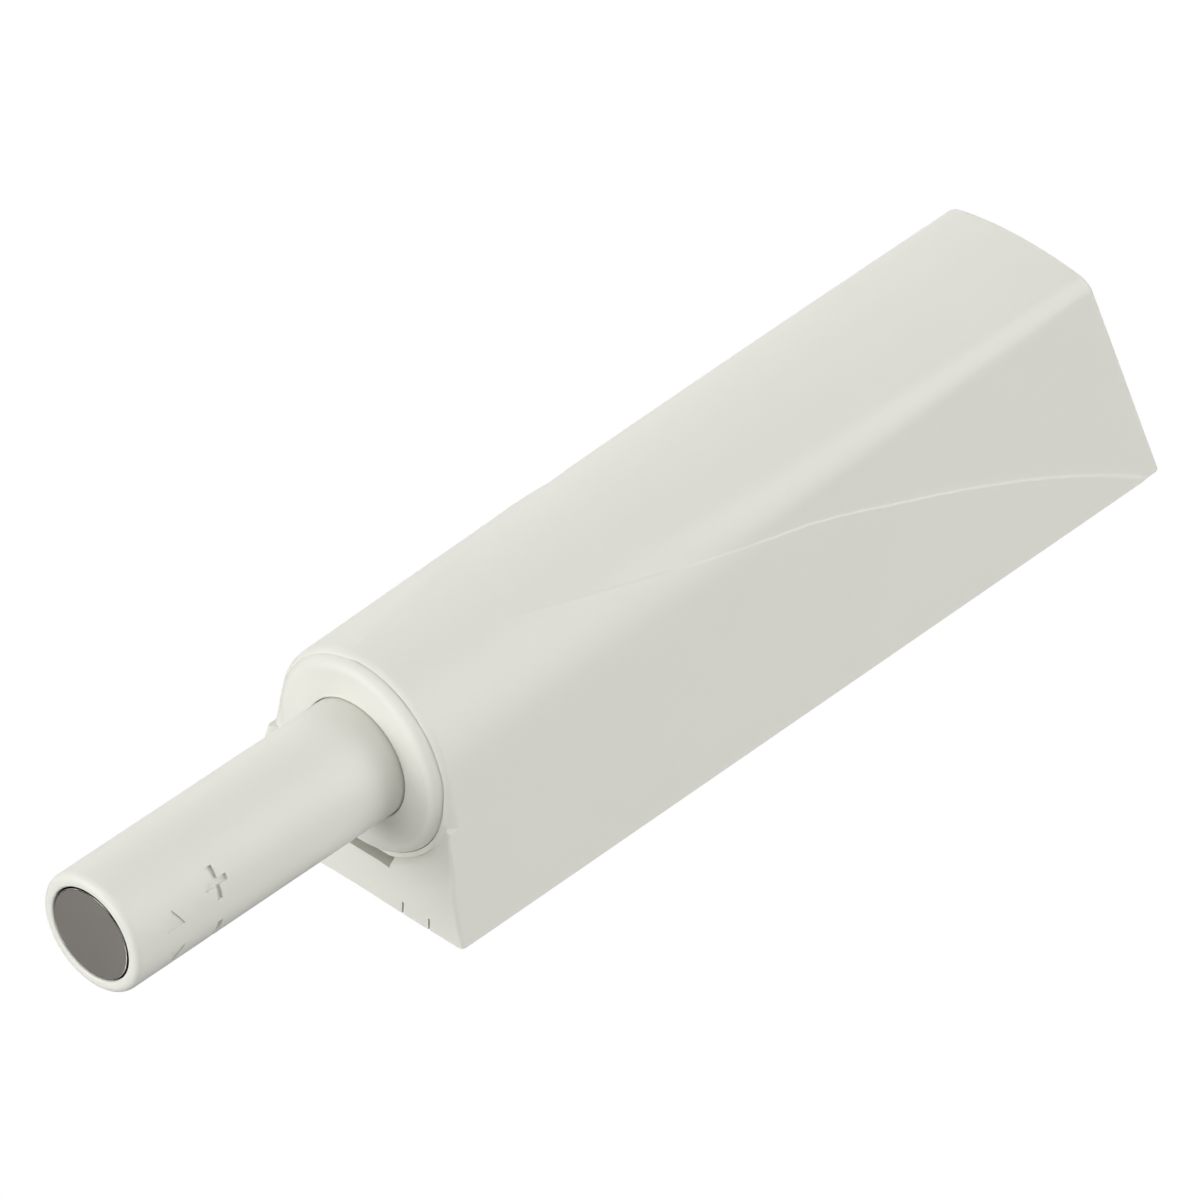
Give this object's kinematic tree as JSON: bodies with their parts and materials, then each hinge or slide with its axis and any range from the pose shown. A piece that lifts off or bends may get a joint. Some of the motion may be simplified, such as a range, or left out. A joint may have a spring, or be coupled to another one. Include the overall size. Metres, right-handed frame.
{
  "type": "push to open catch",
  "caption": "Off-white plastic push to open catch with a round sprung plunger that carries a magnet in its tip.",
  "frame": {"origin": "midway between the two screw holes, on the mounting face", "axes": "+Z away from the panel it is screwed to, -Y out along the plunger towards the door, +X to the right seen along +Y"},
  "size_m": [0.0184, 0.086, 0.0165],
  "materials": {
    "housing_plastic": "satin",
    "inner_plastic": "satin",
    "magnet_grey": "satin",
    "zinc_plated_steel": "satin",
    "spring_steel": "polished"
  },
  "bodies": {
    "housing": {"cover_housing": "housing_plastic", "mounting_plate": "housing_plastic", "cartridge_barrel": "housing_plastic", "barrel_end_cap": "inner_plastic", "follower_spring": "spring_steel", "main_spring": "spring_steel"},
    "carriage": {"slide_carriage": "inner_plastic"},
    "ring": {"guide_ring": "inner_plastic"},
    "plunger": {"plunger_tube": "housing_plastic", "tip_magnet": "magnet_grey", "magnet_backing_disc": "zinc_plated_steel"},
    "follower": {"latch_follower": "spring_steel"}
  },
  "joints": [
    {"name": "plunger_slide", "type": "slide", "parent": "housing", "child": "carriage", "axis": [0, 1, 0], "range_m": [0, 0.019], "stiffness_N_per_m": 130, "springref_m": -0.0115, "deforming": ["main_spring"]},
    {"name": "follower_swing", "type": "hinge", "parent": "housing", "child": "follower", "pos_m": [0, 0.0248, 0.0115], "axis": [0, 0, 1], "range_deg": [0, 5.9]},
    {"name": "tip_advance", "type": "slide", "parent": "carriage", "child": "ring", "axis": [0, -1, 0], "range_m": [-0.0015, 0.003]},
    {"name": "tip_turn", "type": "hinge", "parent": "ring", "child": "plunger", "pos_m": [0, -0.04, 0.0095], "axis": [0, -1, 0], "range_deg": [-360, 720]}
  ],
  "couplings": [
    {"joint": "tip_turn", "follows": "tip_advance", "rad_per_m": 4188.8}
  ]
}
